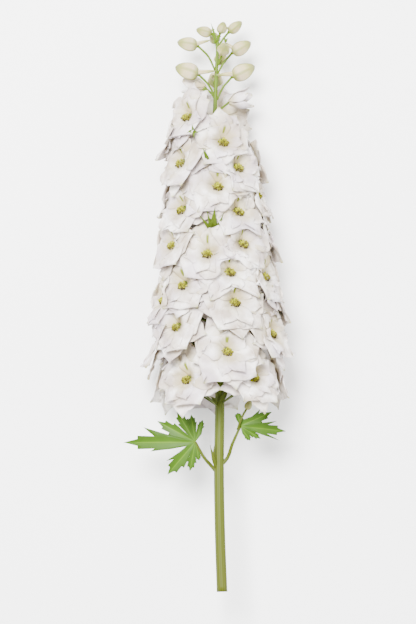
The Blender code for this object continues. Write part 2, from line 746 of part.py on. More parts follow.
def settle():
    """Moves the spike onto its origin, which is the middle of the bottom of its bounding box."""
    whole = bpy.data.collections.new("delphinium_spike")
    bpy.context.scene.collection.children.link(whole)
    points = []
    for obj in list(bpy.context.scene.collection.objects):
        bpy.context.scene.collection.objects.unlink(obj)
        whole.objects.link(obj)
        points += [vert.co for vert in obj.data.vertices]
    low = Vector([min(point[i] for point in points) for i in range(3)])
    high = Vector([max(point[i] for point in points) for i in range(3)])
    origin = Vector(((low.x + high.x) / 2, (low.y + high.y) / 2, low.z))
    for obj in whole.objects:
        for vert in obj.data.vertices:
            vert.co -= origin


def main():
    clear_scene()
    florets = lay_out_florets()
    for floret in florets:
        if floret.is_open:
            make_floret(floret, neighbours(floret, florets))
    for name, bearing, station, base_radius, length in HALF_OPEN_FLORETS:
        floret = next(floret for floret in florets if floret.name == name)
        make_half_open(name, *half_open_ends(floret, base_radius, length))
    for name, _, base, tip, radius, spur_end in BUDS:
        make_bud(name, base, tip, radius, spur_end)
    make_leaf(**LEFT_LEAF)
    make_leaf(**RIGHT_LEAF)
    make_side_shoot()
    make_stem(florets)
    settle()


main()
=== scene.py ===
# %% [markdown]
# # A white delphinium spike
#
# A delphinium carries its florets on short stalks round one tall stem. Each floret is a whorl of five broad
# sepals with a shorter whorl of petals inside it, and a tuft of stamens in its throat. The youngest florets,
# at the tip, are still closed buds. This cut spike lies on a surface, and the camera looks down on it.
#
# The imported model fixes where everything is. This script loads it, and puts a finer piece in the place of
# each coarse solid.

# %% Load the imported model
import math
from collections import namedtuple

import bmesh
import bpy
import numpy as np
from mathutils import Matrix, Vector


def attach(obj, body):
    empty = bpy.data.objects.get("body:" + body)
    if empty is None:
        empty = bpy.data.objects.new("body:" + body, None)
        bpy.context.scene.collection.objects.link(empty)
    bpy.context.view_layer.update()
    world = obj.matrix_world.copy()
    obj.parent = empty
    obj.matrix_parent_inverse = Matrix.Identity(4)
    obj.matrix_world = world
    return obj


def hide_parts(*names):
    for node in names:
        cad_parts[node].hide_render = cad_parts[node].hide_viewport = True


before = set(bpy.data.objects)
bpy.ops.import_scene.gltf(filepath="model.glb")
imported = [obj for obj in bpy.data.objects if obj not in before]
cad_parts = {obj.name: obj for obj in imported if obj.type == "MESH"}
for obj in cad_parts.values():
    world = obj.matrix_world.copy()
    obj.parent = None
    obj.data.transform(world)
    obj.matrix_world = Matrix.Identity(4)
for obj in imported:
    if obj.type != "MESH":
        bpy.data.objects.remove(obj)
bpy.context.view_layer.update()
MM = 0.001
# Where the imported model's origin lies in the part's own millimetres, which all measures below are in.
ORIGIN = Vector((-7.122, 284.905, -72.867))

# %% [markdown]
# The spike is laid out in millimetres. A place is a station, its distance along the stem from the cut end,
# and a bearing round the stem, which is 0 on the side that looks up. A table gives each size along the
# stem, read on a smooth curve. The spike narrows to its tip, and its underside is pressed in a little,
# because it lies on it.

# %% Places along and round the stem
# Each table holds pairs of a station and a size.
STEM_SIDEWAYS = ((0, 9), (50, 7.2), (110, 6), (200, 6.8), (340, 3.2), (467, 1.6), (514, 3.2), (556, 5))
STEM_RADIUS = ((0, 5.4), (190, 4.7), (300, 3.7), (467, 2.2), (520, 1.8), (556, 1.3))
FACE_RADIUS = ((213, 56), (235, 60), (262, 61), (300, 57), (340, 53), (380, 47), (440, 42), (474, 38))
FLORET_REACH = ((213, 34), (300, 33.5), (400, 31.5), (474, 29))
STEM_TIP = 556
AXIS_SLOPE = 0.07
UNDERSIDE_PRESS = 0.19
SURFACE = -72.5


def along(table, station):
    """The value of a table at a station, on a smooth curve through its points."""
    places, values = (np.array(column, float) for column in zip(*table))
    slopes = np.gradient(values, places)
    station = min(max(station, places[0]), places[-1])
    i = min(int(np.searchsorted(places, station, side="right")) - 1, len(places) - 2)
    step = places[i + 1] - places[i]
    t = (station - places[i]) / step
    return float(
        values[i] * (1 + 2 * t) * (1 - t) ** 2
        + slopes[i] * step * t * (1 - t) ** 2
        + values[i + 1] * t * t * (3 - 2 * t)
        + slopes[i + 1] * step * t * t * (t - 1)
    )


def axis_point(station):
    return Vector((along(STEM_SIDEWAYS, station), station, -AXIS_SLOPE * station))


def pressed(bearing):
    return 1 - UNDERSIDE_PRESS * max(0.0, -math.cos(bearing)) ** 2


def round_stem(bearing, station, radius):
    outward = Vector((math.sin(bearing), 0, math.cos(bearing)))
    return axis_point(station) + outward * radius * pressed(bearing)


def near_stem(point):
    """A point given as (to the right, station, height above the stem's axis)."""
    right, station, height = point
    return Vector((right, station, axis_point(station).z + height))


print("stem sinks by", round(AXIS_SLOPE * STEM_TIP, 1), "mm from its cut end to its tip")

# %% [markdown]
# The florets that face up stand where the real ones do. The others fill the sides and the back: each takes
# the emptiest place that is left, which is also how a growing tip sets its flowers.

# %% Where the florets stand
# Each eye that shows from above, as (across, station).
FACING_FLORETS = (
    (-28, 474), (9, 448), (-34, 428), (24, 423), (3, 404), (-34, 381), (23, 379), (-44, 346), (27, 347),
    (-9, 337), (13, 319), (-34, 306), (17, 289), (-42, 265), (8, 241), (-33, 213), (34, 215),
)
# (name, bearing in degrees, station, distance of its base from the stem's axis, length)
HALF_OPEN_FLORETS = (
    ("half_open_left", -118, 505, 12, 23),
    ("half_open_right", 76, 490, 14, 23),
)
HALF_OPEN_ROOM = 12.0
OPEN_FLORETS = 42
FILL_STATIONS = (213, 482)
FILL_BEARINGS = (64, 296)
FILL_STEP_DEGREES = 4
FILL_STEP = 3
EYE_SINK = 2
Floret = namedtuple("Floret", "name bearing station face reach is_open")


def new_floret(name, bearing, station):
    return Floret(name, bearing, station, along(FACE_RADIUS, station), along(FLORET_REACH, station), True)


def turn_between(first, second):
    return (second - first + math.pi) % (2 * math.pi) - math.pi


def emptiest_place(florets):
    """The place at the sides or the back whose nearest floret is the furthest away."""
    def distance(place, floret):
        across = turn_between(place.bearing, floret.bearing) * (place.face + floret.face) / 2
        return math.hypot(across, place.station - floret.station)

    best, best_room = None, 0.0
    for degrees in range(*FILL_BEARINGS, FILL_STEP_DEGREES):
        for station in range(*FILL_STATIONS, FILL_STEP):
            place = new_floret("", math.radians(degrees), station)
            room = min(distance(place, floret) for floret in florets)
            if room > best_room:
                best, best_room = place, room
    return best


def lay_out_florets():
    florets = [
        Floret(name, math.radians(bearing), station, base, HALF_OPEN_ROOM, False)
        for name, bearing, station, base, _ in HALF_OPEN_FLORETS
    ]
    for across, station in FACING_FLORETS:
        eye_radius = along(FACE_RADIUS, station) - EYE_SINK
        florets.append(new_floret("", math.asin(across / eye_radius), station))
    while len(florets) < OPEN_FLORETS + len(HALF_OPEN_FLORETS):
        florets.append(emptiest_place(florets))
    florets.sort(key=lambda floret: floret.station)
    return [floret._replace(name=floret.name or f"floret_{n:02d}") for n, floret in enumerate(florets, 1)]


florets = lay_out_florets()
print("florets:", len(florets))

# %% [markdown]
# A floret is shaped on its own flat face, in (across, up, depth), and then wrapped round the spike. Each
# face leans a little towards the tip, so the florets lie over each other like roof tiles, the upper one's
# lower sepals in front. A petal stops short of a neighbour's eye, so every eye shows.

# %% The face of a floret
PETALS = 5
THROAT_RADIUS = 3.6
THROAT_DEPTH = 7.0
BOWL_RADIUS = 13.0
FLORET_TILT = 0.3
FLORET_SPREAD = 0.12


def arc_radius(floret):
    return floret.face * pressed(floret.bearing)


def offset(floret, other):
    return turn_between(floret.bearing, other.bearing) * arc_radius(floret), other.station - floret.station


def face_depth(radius):
    rise = np.clip((radius - THROAT_RADIUS) / (BOWL_RADIUS - THROAT_RADIUS), 0, 1)
    return -THROAT_DEPTH * (1 - rise)


def face_radius(floret, across, up):
    return floret.face - FLORET_TILT * up + FLORET_SPREAD * across**2 / (2 * floret.face)


def on_spike(floret, point):
    across, up, depth = point
    bearing = floret.bearing + across / ((floret.face + min(depth, 0.0)) * pressed(floret.bearing))
    return round_stem(bearing, floret.station + up, face_radius(floret, across, up) + depth)


print("throat:", THROAT_RADIUS, "mm in radius,", THROAT_DEPTH, "mm deep")

# %% How far a petal may reach
EYE_ROOM_OVER = 11.0
EYE_ROOM_BESIDE = 12.5
PASS_HEIGHT = 8.0
REACH_STEPS = 72
SOFTENING_SHIFTS = (-2, -1, 0, 1, 2)


def neighbours(floret):
    """Where the florets around one stand on its face, and whether it lies over them."""
    places = [(*offset(floret, other), other) for other in florets if other is not floret]
    return [
        (across, up, up < -PASS_HEIGHT)
        for across, up, other in places
        if math.hypot(across, up) < floret.reach + other.reach
    ]


def reach_towards(bearing, reach, limits):
    """How far a petal may reach before it would hide a neighbour's eye."""
    for across, up, lies_over in limits:
        distance = math.hypot(across, up)
        turn = turn_between(math.atan2(across, up), bearing)
        ahead, aside = distance * math.cos(turn), distance * math.sin(turn)
        room = EYE_ROOM_OVER if lies_over else EYE_ROOM_BESIDE
        if ahead > 0 and abs(aside) < room:
            reach = min(reach, ahead - math.sqrt(room**2 - aside**2))
    return reach


def reach_table(floret):
    """How much of its reach a floret has on each bearing, softened so that petals narrow gently."""
    limits = neighbours(floret)
    turns = [k * math.tau / REACH_STEPS for k in range(REACH_STEPS)]
    shares = np.array([reach_towards(turn, floret.reach, limits) / floret.reach for turn in turns])
    return np.mean([np.roll(shares, shift) for shift in SOFTENING_SHIFTS], axis=0)


reach_tables = {floret.name: reach_table(floret) for floret in florets if floret.is_open}
print("narrowest reach:", round(min(table.min() for table in reach_tables.values()), 2), "of full")

# %% [markdown]
# Nearly every surface of the plant is a sheet or a tube. Both start here as Blender's own grid, whose
# points are then moved by a formula. The grid's two directions are kept as a UV map, so a material can
# follow the surface, and a number on each point can carry what the material needs, such as ripeness.

# %% Grids shaped into sheets and tubes
SEAM_DISTANCE = 0.0005
TANGENT_STEP = 0.01
# A direction that no tube runs along, from which its two sides are worked out.
TUBE_GUIDE = Vector((0.31, 0.05, 0.95))


def shaped_grid(bm, across, along_steps, place, mark=0.0):
    """Adds a grid to a bmesh. place(u, v) gives a point in millimetres, with u and v both from 0 to 1."""
    uv_map = bm.loops.layers.uv.verify()
    tone = bm.verts.layers.float.get("tone") or bm.verts.layers.float.new("tone")
    made = bmesh.ops.create_grid(bm, x_segments=across, y_segments=along_steps, size=1)["verts"]
    places = {vert: ((vert.co.x + 1) / 2, (vert.co.y + 1) / 2) for vert in made}
    for face in {face for vert in made for face in vert.link_faces}:
        for loop in face.loops:
            loop[uv_map].uv = places[loop.vert]
    for vert, (u, v) in places.items():
        vert.co = place(u, v)
        vert[tone] = mark(u, v) if callable(mark) else mark
    return made


def new_piece(name, bm, material, nodes, thickness=None, weld=False):
    """Makes an object of a bmesh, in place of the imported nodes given."""
    if weld:
        bmesh.ops.remove_doubles(bm, verts=bm.verts, dist=SEAM_DISTANCE)
        bmesh.ops.holes_fill(bm, edges=[edge for edge in bm.edges if edge.is_boundary])
    bmesh.ops.translate(bm, verts=bm.verts, vec=-ORIGIN)
    bmesh.ops.scale(bm, verts=bm.verts, vec=(MM, MM, MM))
    bmesh.ops.recalc_face_normals(bm, faces=bm.faces)
    mesh = bpy.data.meshes.new(name)
    bm.to_mesh(mesh)
    bm.free()
    mesh.shade_smooth()
    mesh.materials.append(material)
    piece = bpy.data.objects.new(name, mesh)
    bpy.context.scene.collection.objects.link(piece)
    if thickness:
        wall = piece.modifiers.new("thickness", "SOLIDIFY")
        wall.thickness = thickness * MM
        wall.offset = 0
    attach(piece, "root")
    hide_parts(*nodes)
    return piece


def tube(bm, path, radii, sides, steps, ridge=0.0, ridges=0, mark=0.0):
    """A round or ridged tube along path(v), whose radius is radii(v)."""
    def place(u, v):
        here, ahead = path(v), path(min(v + TANGENT_STEP, 1.0))
        back = path(max(v - TANGENT_STEP, 0.0))
        direction = (ahead - back).normalized()
        side = direction.cross(TUBE_GUIDE).normalized()
        up = side.cross(direction)
        turn = u * math.tau
        radius = radii(v) * (1 + ridge * math.cos(ridges * turn))
        return here + (side * math.sin(turn) + up * math.cos(turn)) * radius

    shaped_grid(bm, sides, steps, place, mark)


def smooth_path(points):
    """A function that runs smoothly through points as its argument goes from 0 to 1."""
    points = [Vector(point) for point in points]
    lengths = np.cumsum([0.0] + [(b - a).length for a, b in zip(points, points[1:])])
    shares = lengths / lengths[-1]
    tables = [[(share, point[axis]) for share, point in zip(shares, points)] for axis in range(3)]
    return lambda v: Vector([along(table, v) for table in tables])


print("a grid becomes a petal, a stalk or a bud")

# %% [markdown]
# Petals are thin and full of air and water, so they scatter light and look soft, without a gloss. White
# ones aren't plain white: fine veins run from base to rim, some patches are cooler and some warmer, the
# throat is a greenish cream, and the rim of a sepal may keep a touch of the green that it had as a bud.
# Painted shade darkens the deep throat, the upper petals under the floret above and the whorl behind the
# sepals.
#
# Each material below is a chain of nodes. One helper adds a node and joins it up. Colours are sRGB hex
# values, turned to linear by one function.

# %% Materials: helpers
# Plant skin and matt paint mirror little. A low gloss keeps their colours deep under large lights.
LOW_GLOSS = 0.15
RAMP = "ShaderNodeValToRGB"
MATHS = "ShaderNodeMath"
MIX = "ShaderNodeMix"
COLOURS = {"data_type": "RGBA", "output": 2}
TIMES = {"operation": "MULTIPLY"}
TONE = {"kind": "ShaderNodeAttribute", "attribute_name": "tone", "output": "Fac"}
PLACE = {"kind": "ShaderNodeTexCoord", "output": "Object"}


def linear(hex_colour):
    channels = [int(hex_colour[i:i + 2], 16) / 255 for i in (1, 3, 5)]
    return (*[c / 12.92 if c <= 0.04045 else ((c + 0.055) / 1.055) ** 2.4 for c in channels], 1)


def new_material(name, roughness):
    material = bpy.data.materials.new(name)
    material.use_nodes = True
    shader = material.node_tree.nodes["Principled BSDF"]
    shader.inputs["Roughness"].default_value = roughness
    shader.inputs["Specular IOR Level"].default_value = LOW_GLOSS
    return material


def add(material, kind, inputs=None, stops=(), output=0, **settings):
    """Adds a node with its settings and links, and gives back one of its outputs.

    An input is a number, a hex colour or another node's output. Stops are the points of a colour ramp.
    """
    node = material.node_tree.nodes.new(kind)
    for name, value in settings.items():
        setattr(node, name, value)
    for key, value in (inputs or {}).items():
        if isinstance(value, bpy.types.NodeSocket):
            material.node_tree.links.new(value, node.inputs[key])
        else:
            node.inputs[key].default_value = linear(value) if isinstance(value, str) else value
    elements = node.color_ramp.elements if stops else []
    while len(elements) < len(stops):
        elements.new(0.5)
    for element, (position, colour) in zip(elements, stops):
        element.position = position
        element.color = linear(colour) if isinstance(colour, str) else (colour, colour, colour, 1)
    return node.outputs[output]


def shade(material, colour, height=None, bump_mm=0.1, strength=0.6):
    """Gives the material's shader a colour and, where there is one, a height to bump by."""
    shader = material.node_tree.nodes["Principled BSDF"]
    material.node_tree.links.new(colour, shader.inputs["Base Color"])
    if height is not None:
        settings = {"Strength": strength, "Distance": bump_mm * MM, "Height": height}
        material.node_tree.links.new(add(material, "ShaderNodeBump", settings), shader.inputs["Normal"])


def surface_uv(material):
    """The two directions of a shaped grid: across and along."""
    place = add(material, "ShaderNodeUVMap")
    return [add(material, "ShaderNodeSeparateXYZ", {0: place}, output=axis) for axis in (0, 1)]


def cloud(material, per_metre, detail=3.0):
    """Soft blotches, so many to a metre, read in the object's own coordinates."""
    place = add(material, **PLACE)
    return add(material, "ShaderNodeTexNoise", {"Vector": place, "Scale": per_metre, "Detail": detail})


def stripes(material, across, count, wave="SINE"):
    """Soft stripes side by side. SINE starts between two of them, and COSINE in the middle of one."""
    turns = add(material, MATHS, {0: across, 1: count * math.pi}, **TIMES)
    waves = add(material, MATHS, {0: turns}, operation=wave)
    return add(material, MATHS, {0: waves}, operation="ABSOLUTE")


print("middle grey #808080 in linear light:", round(linear("#808080")[0], 3))


# %% The petals' material
VEINS = 17
PETAL_SCATTER_DEPTH = 1.5 * MM
PETAL_WHITES = ((0.34, "#A99C90"), (0.5, "#C9C0B7"), (0.64, "#EBE6E2"))


def petal_material(name, green_tip=False, has_streak=False):
    """Living petal tissue. Light spreads inside it, so it is matt and its shadows are pale and soft."""
    material = new_material(name, 0.62)
    shader = material.node_tree.nodes["Principled BSDF"]
    shader.inputs["Subsurface Weight"].default_value = 0.25
    shader.inputs["Subsurface Radius"].default_value = (1.0, 0.95, 0.85)
    shader.inputs["Subsurface Scale"].default_value = PETAL_SCATTER_DEPTH
    across, up = surface_uv(material)

    # Patches of about 17 mm, where the tissue is thicker or thinner.
    base = add(material, RAMP, {0: cloud(material, 60)}, PETAL_WHITES)

    # Veins, which show most near the throat.
    veins = stripes(material, across, VEINS)
    vein_line = add(material, RAMP, {0: veins}, ((0.0, 1.0), (0.35, 0.0)))
    vein_fade = add(material, RAMP, {0: up}, ((0.1, 0.3), (0.9, 0.02)))
    vein_share = add(material, MATHS, {0: vein_line, 1: vein_fade}, **TIMES)
    base = add(material, MIX, {0: vein_share, 6: base, 7: "#BFB2B6"}, **COLOURS)

    # Patches of about 30 mm of a cool lilac grey.
    cool = add(material, RAMP, {0: cloud(material, 34, 1.0)}, ((0.46, 0.0), (0.66, 0.55)))
    base = add(material, MIX, {0: cool, 6: base, 7: "#B7ACB8"}, **COLOURS)

    # The throat's colour: a greenish cream, together with painted shade where the throat is deep, strongest at
    # a petal's base.
    throat = add(material, RAMP, {0: up}, ((0.0, 1.0), (0.18, 0.7), (0.55, 0.0)))
    throat_cream_and_shade_share = add(material, MATHS, {0: throat, 1: 0.85}, **TIMES)
    base = add(material, MIX, {0: throat_cream_and_shade_share, 6: base, 7: "#A89A66"}, **COLOURS)
    # Painted shade on a petal whose tone is above 0, strongest near its base: on the upper petals, which the
    # floret above shades, and on the whorl behind the sepals.
    shade_along_petal = add(material, RAMP, {0: up}, ((0.3, 0.55), (1.0, 0.12)))
    painted_shade_share = add(material, MATHS, {0: add(material, **TONE), 1: shade_along_petal}, **TIMES)
    base = add(material, MIX, {0: painted_shade_share, 6: base, 7: "#A69768"}, **COLOURS)

    from_middle = add(material, MATHS, {0: across, 1: 0.5}, operation="SUBTRACT")
    middle = add(material, MATHS, {0: from_middle}, operation="ABSOLUTE")
    if has_streak:
        # A green streak down the middle of the uppermost petal, whose tone is 1.
        line = add(material, RAMP, {0: middle}, ((0.0, 1.0), (0.08, 0.9), (0.14, 0.0)))
        span = add(material, RAMP, {0: up}, ((0.2, 0.0), (0.28, 1.0), (0.52, 1.0), (0.66, 0.0)))
        upper_one = add(material, RAMP, {0: add(material, **TONE)}, ((0.7, 0.0), (0.9, 1.0)))
        streak = add(material, MATHS, {0: line, 1: span}, **TIMES)
        marked = add(material, MATHS, {0: streak, 1: upper_one}, **TIMES)
        base = add(material, MIX, {0: marked, 6: base, 7: "#667014"}, **COLOURS)
    if green_tip:
        # A touch of green at the very point of a sepal.
        point = add(material, RAMP, {0: middle}, ((0.0, 1.0), (0.16, 0.5), (0.34, 0.0)))
        end = add(material, RAMP, {0: up}, ((0.84, 0.0), (0.95, 0.55), (1.0, 1.0)))
        tip_share = add(material, MATHS, {0: point, 1: end}, **TIMES)
        base = add(material, MIX, {0: tip_share, 6: base, 7: "#87883F"}, **COLOURS)
    shade(material, base, veins, bump_mm=0.25, strength=0.35)
    return material


sepal_white = petal_material("petal_sepal_tissue", green_tip=True)
inner_white = petal_material("petal_inner_tissue", has_streak=True)
print("petal materials:", sepal_white.name, inner_white.name)

# %% [markdown]
# A floret's five sepals overlap each other, each with one edge over its neighbour and the other edge under
# the next. A second whorl of five lies behind them and fills the gaps. The seven inner petals are narrower,
# stand out further and crumple more. All are the same flat grid under one formula, which gives it a width,
# a lift, broad waves at the rim and a fine frill. Lengths, widths and waves vary from one petal to the next
# by seeded random draws.

# %% The shape of a petal
NICKS = 23
NICK_DEPTH = 0.05
FRILLS = 19
FRILL = 0.45
TUCK = 2.0
SURFACE_GAP = 0.2
NEAR_LIMIT = 0.12


def petal_width(v, tip_share=0.1):
    """The share of a petal's full width at a share of its length: narrow at its base, rounded at its end."""
    rising = (1 - (1 - v) ** 2.4) ** 0.75
    closing = max(0.0, 1 - v**3.6) ** 0.72
    return max(0.16 * (1 - v), tip_share * v, rising * closing)


def petal_waves(spec, side, v):
    """Broad waves along the rim, a roll across the tip, and a fine frill at the edge."""
    edge = abs(side) ** 1.6
    waves = spec["wave"] * edge * math.sin(spec["phase"] + spec["waves"] * v + 1.8 * side)
    waves += 0.5 * spec["wave"] * v * v * math.sin(spec["phase"] * 1.7 + 4.2 * side)
    return waves + FRILL * edge * math.sin(5 * spec["phase"] + FRILLS * v + 5 * side)


def share_at(table, turn):
    """A reach table's value on a bearing between its steps."""
    step = (turn % math.tau) / math.tau * REACH_STEPS
    return float(np.interp(step, range(REACH_STEPS + 1), [*table, table[0]]))


def place_petal(bm, floret, spec, grid, mark=0.0):
    """One petal. spec gives its bearing, root, length, half width, lift at root and tip, twist and waves."""
    table = reach_tables[floret.name]
    overlong = max(1.0, spec["length"] / floret.reach)

    def place(u, v):
        side = 2 * u - 1
        nicks = 1 + NICK_DEPTH * math.sin(NICKS * v + 3 * spec["phase"]) * v
        width = spec["half_width"] * petal_width(v) * nicks
        away = spec["root"] + (spec["length"] - spec["root"]) * v
        away -= spec["rounding"] * spec["length"] * side**2 * v**2
        across = side * width + spec["lean"] * v * v
        radius = math.hypot(across, away)
        turn = spec["bearing"] + math.atan2(across, away)

        # A petal gives way to a neighbour's eye, and one that is longer than the floret's reach gives way more.
        share = share_at(table, turn)
        share *= 1 - (1 - 1 / overlong) * min(1.0, (1 - share) / NEAR_LIMIT)
        radius *= 1 - min(1.0, radius / floret.reach) ** 0.8 * (1 - share)

        depth = float(face_depth(radius)) + spec["lift"][0] * (1 - v) + spec["lift"][1] * v
        depth += spec["twist"] * side * min(1.0, 2.2 * v) + petal_waves(spec, side, v) * min(1.0, 1.6 * v)
        depth -= spec["crease"] * (1 - min(1.0, abs(side) * 3.5)) * v
        # The upper sepals tuck under the floret above.
        depth -= TUCK * max(0.0, radius * math.cos(turn) - BOWL_RADIUS) / floret.reach
        point = on_spike(floret, (radius * math.sin(turn), radius * math.cos(turn), depth))
        point.z = max(point.z, SURFACE + SURFACE_GAP)
        return point

    shaped_grid(bm, *grid, place, mark)


widest = max(range(101), key=lambda percent: petal_width(percent / 100))
print("a petal is widest at", widest, "% of its length")

# %% Sepals and inner petals
SEPAL_GRID = (14, 17)
INNER_GRID = (9, 11)
SEPAL_WIDTH = 0.63
SEPAL_THICKNESS = 0.35
INNER_PETALS = 7
LOWEST_ROW = 250
LEFT_LIFT = 5.0
RIGHT_LIFT = 1.5
PETAL_SEED = 100
# The tone of a petal by its number round the floret, which sets how much painted shade it gets. The upper ones
# get the most, because the floret above shades them. An inner petal's tone of 1 also marks its streak.
SEPAL_PAINTED_SHADE = {0: 1.0, 1: 0.5, 4: 0.5}
INNER_SHADE_AND_STREAK = {0: 1.0, 1: 0.5, 6: 0.5}
# The whorl behind the sepals gets a little painted shade.
BEHIND_PAINTED_SHADE = 0.3


def sepals_of(floret, rng):
    """Florets at the spike's sides open wider, so their tips make its ragged outline."""
    bm = bmesh.new()
    rightward = math.sin(floret.bearing)
    sideways = rightward**4
    outward = LEFT_LIFT if rightward < 0 else RIGHT_LIFT
    # A sepal that hangs down is shorter at the sides, and longer in the middle of the lowest row.
    in_lowest_row = abs(rightward) < 0.5 and floret.station < LOWEST_ROW
    shortened = -0.25 if in_lowest_row else abs(rightward)
    for k in range(PETALS):
        bearing = k * math.tau / PETALS + rng.normal(0, 0.05)
        hanging = max(0.0, -math.cos(bearing)) * shortened
        place_petal(bm, floret, dict(
            bearing=bearing, root=THROAT_RADIUS * 0.8,
            length=floret.reach * rng.uniform(1.05, 1.18) * (1 + 0.12 * sideways) * (1 - 0.3 * hanging),
            half_width=SEPAL_WIDTH * floret.reach * rng.uniform(0.94, 1.1), rounding=0.2,
            lean=rng.normal(0, 1.8), wave=rng.uniform(1.2, 2.4), waves=rng.uniform(6, 12),
            phase=rng.uniform(0, math.tau),
            lift=(0.0, rng.uniform(-0.5, 3.5) + sideways * (outward + rng.uniform(0, 5))),
            twist=0.9, crease=0.8,
        ), SEPAL_GRID, SEPAL_PAINTED_SHADE.get(k, 0.0))
    for k in range(PETALS):
        place_petal(bm, floret, dict(
            bearing=(k + 0.5) * math.tau / PETALS + rng.normal(0, 0.06), root=THROAT_RADIUS * 1.4,
            length=floret.reach * rng.uniform(1.04, 1.2), half_width=0.42 * floret.reach, rounding=0.12,
            lean=rng.normal(0, 1.5), wave=rng.uniform(1.0, 2.0), waves=rng.uniform(6, 12),
            phase=rng.uniform(0, math.tau), lift=(-1.6, rng.uniform(-3.0, -1.0)), twist=0.5, crease=0.6,
        ), INNER_GRID, BEHIND_PAINTED_SHADE)
    return bm


def inner_petals_of(floret, rng):
    bm = bmesh.new()
    for k in range(INNER_PETALS):
        bearing = k * math.tau / INNER_PETALS + rng.normal(0, 0.08) * (k > 0)
        place_petal(bm, floret, dict(
            bearing=bearing, root=2.6, length=floret.reach * rng.uniform(0.6, 0.86),
            half_width=floret.reach * rng.uniform(0.24, 0.34), rounding=0.16, lean=rng.normal(0, 2.0),
            wave=rng.uniform(1.2, 2.4), waves=rng.uniform(4, 10), phase=rng.uniform(0, math.tau),
            lift=(0.9, rng.uniform(1.8, 5.5)), twist=0.8 * (1 if k % 2 else -1), crease=0.9,
        ), INNER_GRID, INNER_SHADE_AND_STREAK.get(k, 0.0))
    return bm


for number, floret in enumerate(florets):
    if floret.is_open:
        rng = np.random.default_rng(PETAL_SEED + number)
        sepals, petals = sepals_of(floret, rng), inner_petals_of(floret, rng)
        new_piece(floret.name + "_sepals", sepals, sepal_white, [floret.name], SEPAL_THICKNESS)
        new_piece(floret.name + "_petals", petals, inner_white, [floret.name], SEPAL_THICKNESS)
print("open florets:", sum(floret.is_open for floret in florets))

# %% [markdown]
# Stamens crowd the throat. Each is a fine thread with a small pod of pollen on its end. The pods turn from
# yellow-green to dark olive-brown as they ripen, the lower ones first. One tone value on each pod's points
# gives its ripeness. The pods are small balls of few faces, because there are a thousand of them.

# %% The stamens' materials
# Dry pollen pods: dull, with a grainy skin, so they read as dark specks without a shine.
anther = new_material("anther_pollen_pod", 0.7)
RIPENING = ((0.0, "#97981A"), (0.35, "#767410"), (0.7, "#423B0D"), (1.0, "#241A09"))
shade(anther, add(anther, RAMP, {0: add(anther, **TONE)}, RIPENING), cloud(anther, 900), bump_mm=0.3)

# A moist green thread: smooth, and paler at its foot.
filament = new_material("filament_thread", 0.5)
_, along_thread = surface_uv(filament)
shade(filament, add(filament, RAMP, {0: along_thread}, ((0.0, "#B9BB6A"), (1.0, "#8C8E2C"))))
print("stamen materials:", anther.name, filament.name)

# %% The stamens
STAMENS = 24
STAMEN_SEED = 300
TUFT_RADIUS = 5.0
TUFT_CENTRE = -1.8
GOLDEN_TURN = math.radians(137.5)
POD_STRETCH = Matrix.Diagonal((1.0, 0.75, 1.35, 1.0))


def stamens_of(floret, rng):
    """The pods and the threads of one floret, as two meshes."""
    pods, threads = bmesh.new(), bmesh.new()
    tone = pods.verts.layers.float.new("tone")
    for k in range(STAMENS):
        spread = TUFT_RADIUS * math.sqrt((k + 0.5) / STAMENS)
        turn = k * GOLDEN_TURN
        across = spread * math.sin(turn) * 1.1
        up = spread * math.cos(turn) * 0.85 + TUFT_CENTRE
        depth = 1.6 - 0.16 * spread**2 + rng.normal(0, 0.5)
        top = on_spike(floret, (across, up, depth))
        foot = on_spike(floret, (0.3 * across, 0.3 * up, -THROAT_DEPTH + 0.3))
        size = rng.uniform(0.85, 1.2)
        spin = Matrix.Rotation(rng.uniform(0, math.tau), 4, Vector(rng.normal(0, 1, 3)).normalized())
        placing = Matrix.Translation(top) @ spin @ POD_STRETCH
        pod = bmesh.ops.create_icosphere(pods, subdivisions=1, radius=size, matrix=placing)
        ripe = np.clip(0.4 - 0.11 * (up - TUFT_CENTRE) + rng.normal(0, 0.2), 0, 1)
        for vert in pod["verts"]:
            vert[tone] = ripe
        bend = foot.lerp(top, 0.6) + Vector(rng.normal(0, 0.25, 3))
        tube(threads, smooth_path((foot, bend, top)), lambda v: 0.28 - 0.1 * v, 4, 3)
    return pods, threads


for number, floret in enumerate(florets):
    if floret.is_open:
        rng = np.random.default_rng(STAMEN_SEED + number)
        pods, threads = stamens_of(floret, rng)
        new_piece(floret.name + "_anthers", pods, anther, ["stem"])
        new_piece(floret.name + "_filaments", threads, filament, ["stem"], weld=True)
print("stamens in each floret:", STAMENS)

# %% [markdown]
# The stem is green all over, lime at the tip and olive lower down, where it is older. Fine lines run along
# it, and it is a little ribbed. Each floret's stalk leaves it at a slant, and small leaf-like bracts stand
# below some of them. The stem is a tube with a ribbed section, the stalks are plain tubes that sink into it
# like the real ones, and a bract is a small sheet folded along its middle.

# %% The green material
STEM_LINES = 14
STEM_GREENS = ((0.0, "#3F400B"), (0.25, "#3D440A"), (0.5, "#3F4D09"), (0.8, "#465C08"), (1.0, "#516B08"))


